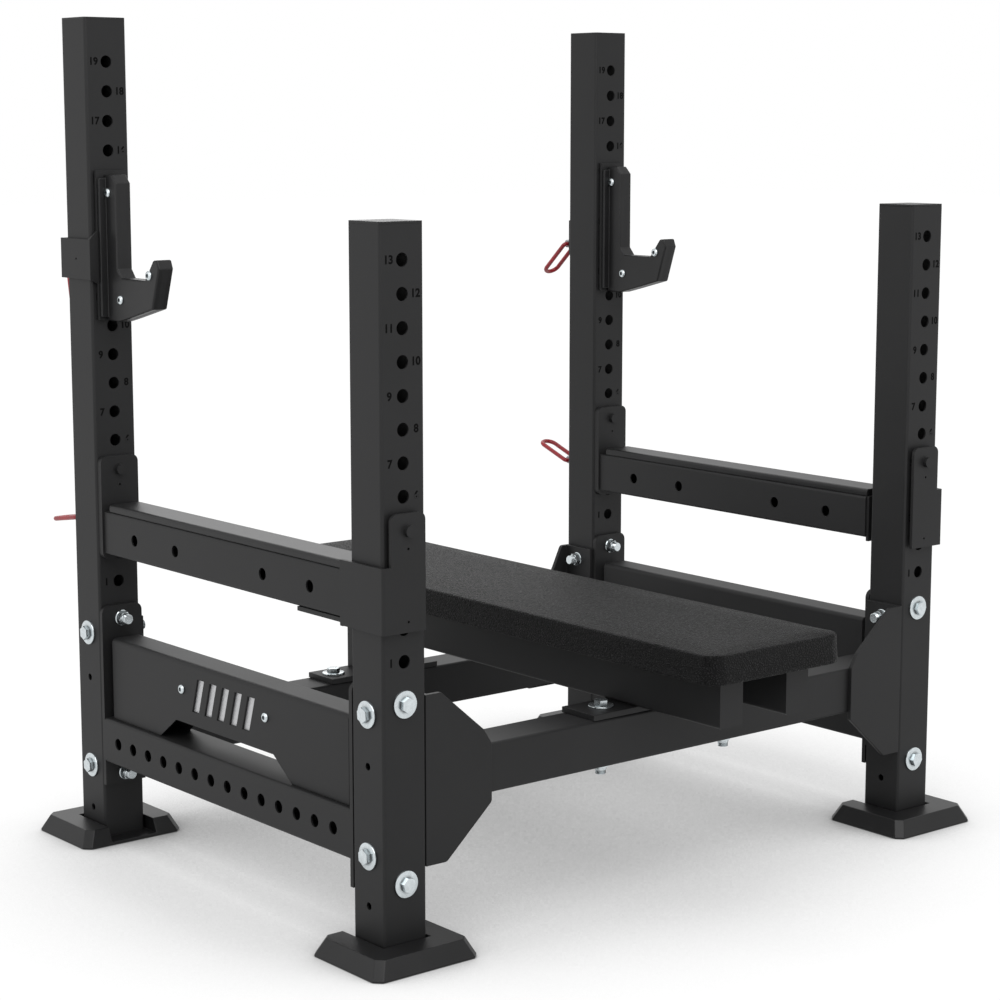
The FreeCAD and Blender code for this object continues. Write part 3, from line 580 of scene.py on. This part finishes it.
class BENCH_OT_ease_edges(bpy.types.Operator):
    """Eases the edges of the plates and mouldings, so that they catch the light"""
    bl_idname = "bench.ease_edges"
    bl_label = "Ease edges"

    def execute(self, context):
        steel, moulding = looks().steel.plate_edge, looks().steel.moulding_edge
        for side, _ in SIDES:
            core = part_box(f"jhook_core_{side}")
            for kind in ("jhook_core", "jhook_liner_out", "jhook_liner_in"):
                eased(f"{kind}_{side}", moulding, f"{kind}_{side}_moulding", (core[0].x, core[1].x))
            eased(f"arm_liner_{side}", moulding, f"arm_liner_{side}_moulding")
            for kind in ("jhook_saddle", "arm_tail", "arm_nose", "side_panel"):
                eased(f"{kind}_{side}", steel, f"{kind}_{side}_plate")
            for end in ENDS:
                eased(f"foot_{end}_{side}", moulding, f"foot_{end}_{side}_moulding")
                eased(f"bracket_{end}_{side}", steel, f"bracket_{end}_{side}_plate")
                eased(f"cap_{end}_{side}", moulding * 0.5, f"cap_{end}_{side}_moulding")
        for node in ("bench_mount_front", "bench_mount_rear"):
            eased(node, steel, f"{node}_plate")
        return {"FINISHED"}


def pad_form(low, high, inset, corner, cell, steps=8):
    """Rounded slab that the cover starts from, its flat underside at the bottom of its space."""
    bm = bmesh.new()
    x, y, r = (high.x - low.x) / 2 - inset, (high.y - low.y) / 2 - inset, corner
    cx, cy = (low.x + high.x) / 2, (low.y + high.y) / 2
    outline = []
    for sx, sy, start in ((1, 1, 0), (-1, 1, 90), (-1, -1, 180), (1, -1, 270)):
        for k in range(steps + 1):
            a = math.radians(start + 90 * k / steps)
            outline.append((cx + sx * (x - r) + r * math.cos(a), cy + sy * (y - r) + r * math.sin(a)))
    verts = [bm.verts.new((px, py, low.z)) for px, py in outline]
    floor = bm.faces.new(verts)
    top = bmesh.ops.extrude_face_region(bm, geom=[floor])["geom"]
    for v in (g for g in top if isinstance(g, bmesh.types.BMVert)):
        v.co.z = high.z - inset
    bmesh.ops.recalc_face_normals(bm, faces=bm.faces)
    rim = [e for e in bm.edges if all(abs(v.co.z - (high.z - inset)) < 1e-6 for v in e.verts)]
    bmesh.ops.bevel(bm, geom=rim, offset=0.0035, segments=2, affect="EDGES", profile=0.5)
    foot = [e for e in bm.edges if all(abs(v.co.z - low.z) < 1e-6 for v in e.verts)]
    bmesh.ops.bevel(bm, geom=foot, offset=0.003, segments=2, affect="EDGES", profile=0.6)
    inner = Vector((0.006, 0.006, 0.006))
    for axis in range(3):
        start, end = (low + inner)[axis], (high - inner)[axis]
        count = max(2, round((end - start) / cell))
        for k in range(count + 1):
            at, way = Vector((cx, cy, low.z)), Vector()
            at[axis], way[axis] = start + (end - start) * k / count, 1
            bmesh.ops.bisect_plane(bm, geom=bm.verts[:] + bm.edges[:] + bm.faces[:], dist=1e-5, plane_co=at,
                                   plane_no=way)
    mesh = bpy.data.meshes.new("bench_pad_cover")
    bm.to_mesh(mesh)
    bm.free()
    return mesh


class BENCH_OT_stuff_pad(bpy.types.Operator):
    """Blows up the pad's cover over its foam as cloth and gives it its grain"""
    bl_idname = "bench.stuff_pad"
    bl_label = "Stuff pad"

    def execute(self, context):
        pad = looks().pad
        low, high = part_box("bench_pad")
        mesh = pad_form(low, high, pad.inset, PAD_CORNER, pad.cell * (1))
        obj = put("bench_pad_cover", mesh)
        self.swell(context, obj, low, pad)
        subdivide = obj.modifiers.new("Finer", "SUBSURF")
        subdivide.levels = subdivide.render_levels = 1
        mesh = baked(obj, "bench_pad_cover")
        for face in mesh.polygons:
            face.use_smooth = True
        cover = piece("bench_pad_cover", mesh, "frame", "leather", ["bench_pad"])
        return {"FINISHED"}

    def swell(self, context, obj, low, pad):
        start = [v.co.copy() for v in obj.data.vertices]
        pins = obj.vertex_groups.new(name="glued")
        pins.add([v.index for v in obj.data.vertices if v.co.z < low.z + GLUED], 1.0, "REPLACE")
        cloth = obj.modifiers.new("Cloth", "CLOTH")
        settings = cloth.settings
        settings.quality = 6
        settings.mass = 0.4
        settings.tension_stiffness = settings.compression_stiffness = 25
        settings.bending_stiffness = 2.0
        settings.use_pressure = True
        settings.uniform_pressure_force = pad.pressure
        settings.vertex_group_mass = "glued"
        settings.effector_weights.gravity = 0
        cloth.point_cache.frame_start, cloth.point_cache.frame_end = 1, CLOTH_FRAMES
        scene = context.scene
        scene.frame_start, scene.frame_end = 1, CLOTH_FRAMES
        for frame_number in range(1, CLOTH_FRAMES + 1):
            scene.frame_set(frame_number)
        graph = context.evaluated_depsgraph_get()
        moved = obj.evaluated_get(graph).to_mesh()
        places = [v.co.copy() for v in moved.vertices]
        obj.evaluated_get(graph).to_mesh_clear()
        obj.modifiers.remove(cloth)
        scene.frame_set(1)
        for v, here, there in zip(obj.data.vertices, start, places):
            step = there - here
            if step.length > pad.swell:
                step *= pad.swell / step.length
            v.co = here + step


def bolt_shape(fit):
    """Flat round flange with a hexagon head on it."""
    w = fit.washer / 2
    flange = turned([(0, 0), (w, 0), (w, 0.0022), (w - 0.0004, 0.0030), (w - 0.0014, 0.0034),
                     (0, 0.0034)], 48)
    return joined("flanged_bolt", [flange, hexagon(fit.hexagon, 0.0034, 0.0118, 0.0008)])


def nut_shape(fit):
    """Lock nut with its collar, and the threaded end of the shank standing out of it."""
    h, s = fit.hexagon, fit.shank / 2
    flange = turned([(0, 0), (h * 0.66, 0), (h * 0.66, 0.0012), (h * 0.60, 0.0024), (0, 0.0024)], 32)
    collar = turned([(0, 0.012), (h * 0.48, 0.012), (h * 0.48, 0.0138), (h * 0.44, 0.0155), (s * 1.02, 0.016),
                     (0, 0.016)], 32)
    thread = [(0, 0.014)]
    for k in range(4):
        z = 0.0158 + k * 0.0018
        thread += [(s * 0.90, z), (s * 0.985, z + 0.0006), (s * 0.985, z + 0.0009), (s * 0.90, z + 0.0017)]
    thread += [(s * 0.82, 0.0229), (0, 0.0230)]
    return joined("lock_nut", [flange, hexagon(h, 0.002, 0.0125, 0.002), collar, turned(thread, 28)])


def groups_of(node):
    """Centres and sizes of the separate solids in a CAD node."""
    mesh = frame["nodes"][node].data
    bm = bmesh.new()
    bm.from_mesh(mesh)
    bmesh.ops.remove_doubles(bm, verts=bm.verts, dist=1e-5)
    seen, found = set(), []
    for v in bm.verts:
        if v in seen:
            continue
        stack, group = [v], []
        seen.add(v)
        while stack:
            w = stack.pop()
            group.append(w.co.copy())
            for e in w.link_edges:
                o = e.other_vert(w)
                if o not in seen:
                    seen.add(o)
                    stack.append(o)
        low = Vector(min(c[i] for c in group) for i in range(3))
        high = Vector(max(c[i] for c in group) for i in range(3))
        found.append((low, high))
    bm.free()
    return found


class BENCH_OT_fit_bolts(bpy.types.Operator):
    """Puts flanged bolts and lock nuts where the frame is bolted together"""
    bl_idname = "bench.fit_bolts"
    bl_label = "Fit bolts"

    def execute(self, context):
        fit = looks().fittings
        for node in ("bolts_front", "bolts_rear", "bolts_bench"):
            heads, nuts = [], []
            for low, high in groups_of(node):
                size = high - low
                centre = (low + high) / 2
                tall = max(size)
                is_head = tall > fit.washer * 0.97
                axis = min(range(3), key=lambda i: size[i]) if is_head else self.nut_axis(size)
                sign = self.outward(axis, centre, is_head, node)
                facing = Vector([sign if i == axis else 0 for i in range(3)])
                root = centre.copy()
                root[axis] = low[axis] if sign > 0 else high[axis]
                (heads if is_head else nuts).append((root, facing))
            scatter(f"{node}_heads", heads, bolt_shape(fit), "frame", "zinc", [node])
            scatter(f"{node}_nuts", nuts, nut_shape(fit), "frame", "zinc", seed=fit.seed + 5)
        return {"FINISHED"}

    @staticmethod
    def nut_axis(size):
        return min(range(3), key=lambda i: abs(size[i] - NUT_HEIGHT))

    @staticmethod
    def outward(axis, centre, is_head, node):
        if axis == 2:
            return 1 if is_head else -1
        out = 1 if (centre - middle("bench_board"))[axis] > 0 else -1
        return out if is_head else -out


def screw_shape(fit):
    """Low round head with a hexagon socket sunk in its middle."""
    r, sides = fit.screw / 2, 30
    bm = bmesh.new()
    rings = []

    def ring(radius, height, corners=False):
        points = []
        for i in range(sides):
            a = math.pi * i / (sides / 2)
            reach = radius / max(math.cos(a % (math.pi / 3) - math.pi / 6), 0.8) if corners else radius
            points.append(bm.verts.new((reach * math.cos(a), reach * math.sin(a), height)))
        rings.append(points)

    for radius, height in ((r, 0), (r, 0.0010), (r * 0.95, 0.0024), (r * 0.80, 0.0036), (r * 0.60, 0.0042)):
        ring(radius, height)
    for height in (0.0042, 0.0014):
        ring(r * 0.42, height, corners=True)
    for low, high in zip(rings, rings[1:]):
        for i in range(sides):
            j = (i + 1) % sides
            bm.faces.new((low[i], low[j], high[j], high[i]))
    bm.faces.new(rings[-1])
    bm.faces.new(rings[0][::-1])
    return joined("socket_screw", [bm])


class BENCH_OT_fit_screws(bpy.types.Operator):
    """Puts the small screws on the hooks, the side panels and under the pad"""
    bl_idname = "bench.fit_screws"
    bl_label = "Fit screws"

    def execute(self, context):
        fit = looks().fittings
        for side, fx in SIDES:
            spots = []
            for liner, out in (("out", fx), ("in", -fx)):
                low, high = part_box(f"jhook_liner_{liner}_{side}")
                core_low, core_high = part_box(f"jhook_core_{side}")
                stock = core_high.x - core_low.x
                face = core_high.x + stock if out > 0 else core_low.x - stock
                for y, z in HOOK_SCREWS:
                    spots.append((Vector((face, high.y + y, low.z + z)), Vector((out, 0, 0))))
            scatter(f"hook_screws_{side}", spots, screw_shape(fit), f"jhook_{side}", "zinc")
            low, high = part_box(f"side_panel_{side}")
            face, centre = (high.x if fx > 0 else low.x), (low.y + high.y) / 2
            spots = [(Vector((face, centre + y, low.z + PANEL_SCREW_HEIGHT)), Vector((fx, 0, 0)))
                     for y in PANEL_SCREWS]
            scatter(f"panel_screws_{side}", spots, screw_shape(fit), "frame", "zinc")
        spots = []
        for side, fx in SIDES:
            low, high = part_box(f"bench_rail_{side}")
            for k in range(PAD_SCREW_COUNT):
                y = low.y + PAD_SCREW_FIRST + k * PAD_SCREW_PITCH
                spots.append((Vector(((low.x + high.x) / 2, y, low.z)), Vector((0, 0, -1))))
        scatter("pad_screws", spots, screw_shape(fit), "frame", "zinc")
        return {"FINISHED"}


class BENCH_OT_mark_holes(bpy.types.Operator):
    """Lays a thin dark sheet for the number beside each hole of the uprights, painted shade standing for a
    figure cut through the steel
    """
    bl_idname = "bench.mark_holes"
    bl_label = "Mark holes"

    def execute(self, context):
        fit = looks().fittings
        for end, count in HOLES.items():
            for side, _ in SIDES:
                low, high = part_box(f"upright_{end}_{side}")
                texts = []
                for number in range(1, count + 1):
                    curve = bpy.data.curves.new(f"figure_{number}", "FONT")
                    curve.body = str(number)
                    curve.size = fit.figure * 1.38
                    curve.align_x, curve.align_y = "CENTER", "CENTER"
                    curve.extrude = 0.00012
                    curve.space_character = 1.02
                    curve.offset = 0.00058
                    mesh = baked(put(f"figure_{number}", curve), f"figure_{number}")
                    shift = -FIGURE_SHIFT if number % 2 else FIGURE_SHIFT
                    height = FIRST_HOLE + HOLE_PITCH * (number - 1)
                    place = Vector(((low.x + high.x) / 2 + shift, low.y - 0.0001, height))
                    mesh.transform(Matrix.Translation(place) @ Matrix.Rotation(math.pi / 2, 4, "X"))
                    texts.append(mesh)
                whole = bmesh.new()
                for mesh in texts:
                    whole.from_mesh(mesh)
                    bpy.data.meshes.remove(mesh)
                mesh = bpy.data.meshes.new(f"figures_{end}_{side}")
                whole.to_mesh(mesh)
                whole.free()
                piece(f"figures_{end}_{side}", mesh, "frame", "cut_mark")
        return {"FINISHED"}


class BENCH_OT_set_stage(bpy.types.Operator):
    """Lays the floor, hangs the lights and places the camera"""
    bl_idname = "bench.set_stage"
    bl_label = "Set stage"

    def execute(self, context):
        stage = looks().stage
        scene = context.scene
        mesh = bpy.data.meshes.new("floor")
        mesh.from_pydata([(-30, -30, 0), (30, -30, 0), (30, 30, 0), (-30, 30, 0)], [], [(0, 1, 2, 3)])
        floor = put("floor", mesh)
        floor.location.z = -0.0005
        mesh.materials.append(self.floor_finish(stage))
        self.light("key", (-1.0, -2.1, 3.2), (0, 0, 0.6), 3.2, stage.key)
        self.light("side", (-4.2, 0.6, 1.9), (0, 0, 0.6), 2.6, stage.fill)
        self.light("back", (1.6, 3.6, 2.8), (0, 0, 0.7), 2.6, stage.fill * 1.1)
        self.world(scene, stage)
        camera = bpy.data.cameras.new("camera")
        camera.lens, camera.sensor_width = stage.lens, 36
        camera.clip_end = 200
        holder = put("camera", camera)
        holder.location = CAMERA_PLACE
        holder.rotation_euler = (math.pi / 2 + CAMERA_TILT, 0, CAMERA_TURN)
        scene.camera = holder
        scene.view_settings.view_transform = "Standard"
        return {"FINISHED"}

    @staticmethod
    def light(name, place, target, size, power):
        data = bpy.data.lights.new(name, "AREA")
        data.shape, data.size, data.energy = "SQUARE", size, power
        lamp = put(name, data)
        lamp.location = place
        lamp.rotation_euler = (Vector(target) - Vector(place)).to_track_quat("-Z", "Y").to_euler()

    @staticmethod
    def floor_finish(stage):
        """Pale floor, white away from the object, also in reflections, with the object's shade painted on it
        from ambient occlusion.
        """
        f = Finish("pale_floor")
        f.set(Base_Color=(*stage.floor, 1), Roughness=0.9)
        painted_shade_ao = f.node("ShaderNodeAmbientOcclusion", {"samples": 12}, {"Distance": stage.shade})
        tight_painted_shade_ao = f.node("ShaderNodeAmbientOcclusion", {"samples": 12}, {"Distance": stage.shade / 6})
        # Painted shadow: the emission that the camera and reflections see is dimmed near the object by two
        # ambient occlusion lookups.
        open_sky = (0.14 + Val(f, painted_shade_ao.outputs["AO"]).step(0.17, 0.95) * 0.86) * (
            0.40 + Val(f, tight_painted_shade_ao.outputs["AO"]) * 0.60)
        glow = f.node("ShaderNodeEmission", {}, {"Color": (1, 1, 1, 1), "Strength": open_sky * 1.04})
        plain = f.node("ShaderNodeMixShader", {},
                       {"Fac": seen_rays(f), 1: f.skin.outputs[0], 2: glow.outputs[0]})
        f.tree.links.new(plain.outputs[0], f.out.inputs["Surface"])
        return f.material

    @staticmethod
    def world(scene, stage):
        """White where it is seen or mirrored, and a weaker even light on the object."""
        world = bpy.data.worlds.new("studio")
        world.use_nodes = True
        scene.world = world
        tree = world.node_tree
        tree.nodes.clear()
        f = Finish.on_tree(tree)
        white = f.node("ShaderNodeBackground", {}, {"Color": (1, 1, 1, 1), "Strength": 1.0})
        even = f.node("ShaderNodeBackground", {}, {"Color": (0.97, 0.98, 1, 1), "Strength": stage.ambient})
        both = f.node("ShaderNodeMixShader", {},
                      {"Fac": seen_rays(f), 1: even.outputs[0], 2: white.outputs[0]})
        out = f.node("ShaderNodeOutputWorld")
        tree.links.new(both.outputs[0], out.inputs["Surface"])


STEPS = ("coat_frame", "ease_edges", "stuff_pad", "fit_bolts", "fit_screws", "mark_holes", "set_stage")


class BENCH_PT_looks(bpy.types.Panel):
    """Steps that dress the bench press"""
    bl_label = "Bench press"
    bl_space_type = "VIEW_3D"
    bl_region_type = "UI"
    bl_category = "Bench press"

    def draw(self, context):
        for step in STEPS:
            self.layout.operator(f"bench.{step}")


CLASSES = (BenchSteel, BenchPad, BenchFittings, BenchStage, BenchLooks, BENCH_OT_coat_frame,
           BENCH_OT_ease_edges, BENCH_OT_stuff_pad, BENCH_OT_fit_bolts, BENCH_OT_fit_screws,
           BENCH_OT_mark_holes, BENCH_OT_set_stage, BENCH_PT_looks)


def register():
    for item in CLASSES:
        bpy.utils.register_class(item)
    bpy.types.Scene.bench_looks = PointerProperty(type=BenchLooks)


def unregister():
    del bpy.types.Scene.bench_looks
    for item in reversed(CLASSES):
        bpy.utils.unregister_class(item)


def main():
    register()
    for step in STEPS:
        getattr(bpy.ops.bench, step)()


if __name__ == "__main__":
    main()
